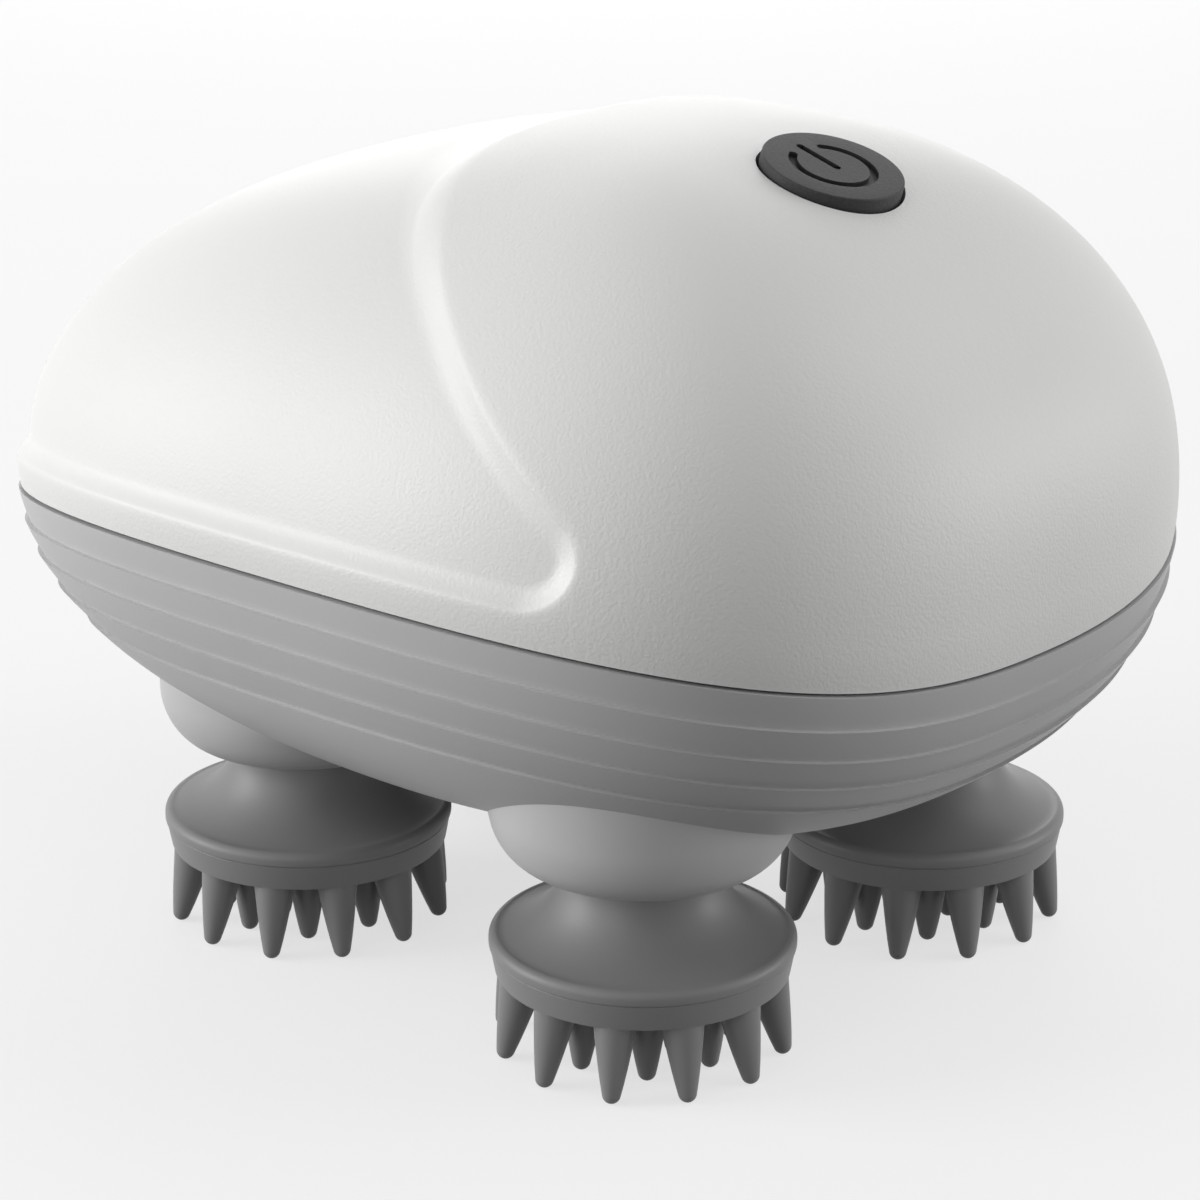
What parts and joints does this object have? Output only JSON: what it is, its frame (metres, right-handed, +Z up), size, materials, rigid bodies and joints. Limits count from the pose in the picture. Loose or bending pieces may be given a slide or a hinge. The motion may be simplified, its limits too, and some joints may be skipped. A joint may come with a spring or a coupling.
{
  "type": "electric scalp massager",
  "caption": "Domed hand-held scalp massager that stands on turning heads with soft tines, driven by a motor and gear train, with a round power button on its crown.",
  "frame": {"origin": "middle of the footprint, on the surface that the tine tips stand on", "axes": "+X from the nose to the back, +Z up, and the left side lies towards -Y"},
  "size_m": [0.1258, 0.096, 0.0887],
  "materials": {
    "white_abs": "moulded, fine leather grain, satin",
    "grey_abs": "moulded, satin",
    "grey_silicone": "moulded silicone, matte",
    "black_rubber": "fine grain, matte",
    "black_plastic": "moulded",
    "core_plastic": "moulded",
    "frame_plastic": "moulded",
    "acetal": "moulded, slightly waxy",
    "board_laminate": "lacquered",
    "cell_wrap": "shrink film",
    "steel": "turned and plated",
    "brass": "machined",
    "bronze": "sintered"
  },
  "bodies": {
    "housing": {"upper_shell": "white_abs", "lower_shell": "grey_abs", "seam_gasket": "black_rubber", "button_seal": "black_rubber", "tact_switch": "black_plastic", "circuit_board": "board_laminate", "board_screws": "steel", "battery_cell": "cell_wrap", "motor_can": "steel", "motor_screws": "steel", "gearbox_plate": "frame_plastic", "plate_screws": "steel", "case_screws": "steel", "charge_contacts": "brass", "centre_axle": "steel", "idler_axle": "steel", "front_left_bush": "bronze", "front_left_seal": "black_rubber", "front_right_bush": "bronze", "front_right_seal": "black_rubber", "rear_left_bush": "bronze", "rear_left_seal": "black_rubber", "rear_right_bush": "bronze", "rear_right_seal": "black_rubber"},
    "power_button": {"power_button": "black_rubber"},
    "motor_rotor": {"motor_shaft": "steel", "motor_pinion": "brass"},
    "idler": {"idler_gear": "acetal"},
    "centre": {"centre_gear": "acetal"},
    "front_left_head": {"front_left_spindle": "steel", "front_left_spindle_gear": "acetal", "front_left_head_core": "core_plastic", "front_left_head_skin": "grey_silicone", "front_left_tine_pad": "grey_silicone"},
    "front_right_head": {"front_right_spindle": "steel", "front_right_spindle_gear": "acetal", "front_right_head_core": "core_plastic", "front_right_head_skin": "grey_silicone", "front_right_tine_pad": "grey_silicone"},
    "rear_left_head": {"rear_left_spindle": "steel", "rear_left_spindle_gear": "acetal", "rear_left_head_core": "core_plastic", "rear_left_head_skin": "grey_silicone", "rear_left_tine_pad": "grey_silicone"},
    "rear_right_head": {"rear_right_spindle": "steel", "rear_right_spindle_gear": "acetal", "rear_right_head_core": "core_plastic", "rear_right_head_skin": "grey_silicone", "rear_right_tine_pad": "grey_silicone"}
  },
  "joints": [
    {"name": "button_press", "type": "slide", "parent": "housing", "child": "power_button", "axis": [0.2833, 0, 0.959], "range_m": [-0.0006, 0], "stiffness_N_per_m": 900},
    {"name": "centre_spin", "type": "hinge", "parent": "housing", "child": "centre", "pos_m": [0.0072, 0, 0.0395], "axis": [0, 0, 1], "continuous": true},
    {"name": "idler_spin", "type": "hinge", "parent": "housing", "child": "idler", "pos_m": [-0.015, 0, 0.045], "axis": [0, 0, 1], "continuous": true},
    {"name": "motor_spin", "type": "hinge", "parent": "housing", "child": "motor_rotor", "pos_m": [0, 0, 0.0485], "axis": [0, 0, 1], "continuous": true},
    {"name": "front_left_spin", "type": "hinge", "parent": "housing", "child": "front_left_head", "pos_m": [-0.01713, -0.02229, 0.03], "axis": [0, 0, 1], "continuous": true},
    {"name": "front_right_spin", "type": "hinge", "parent": "housing", "child": "front_right_head", "pos_m": [-0.01713, 0.02229, 0.03], "axis": [0, 0, 1], "continuous": true},
    {"name": "rear_left_spin", "type": "hinge", "parent": "housing", "child": "rear_left_head", "pos_m": [0.03153, -0.02229, 0.03], "axis": [0, 0, 1], "continuous": true},
    {"name": "rear_right_spin", "type": "hinge", "parent": "housing", "child": "rear_right_head", "pos_m": [0.03153, 0.02229, 0.03], "axis": [0, 0, 1], "continuous": true}
  ],
  "couplings": [
    {"joint": "idler_spin", "follows": "centre_spin", "ratio": -4.2857},
    {"joint": "motor_spin", "follows": "centre_spin", "ratio": 21.429},
    {"joint": "front_left_spin", "follows": "centre_spin", "ratio": -1.5385},
    {"joint": "front_right_spin", "follows": "centre_spin", "ratio": -1.5385},
    {"joint": "rear_left_spin", "follows": "centre_spin", "ratio": -1.5385},
    {"joint": "rear_right_spin", "follows": "centre_spin", "ratio": -1.5385}
  ]
}
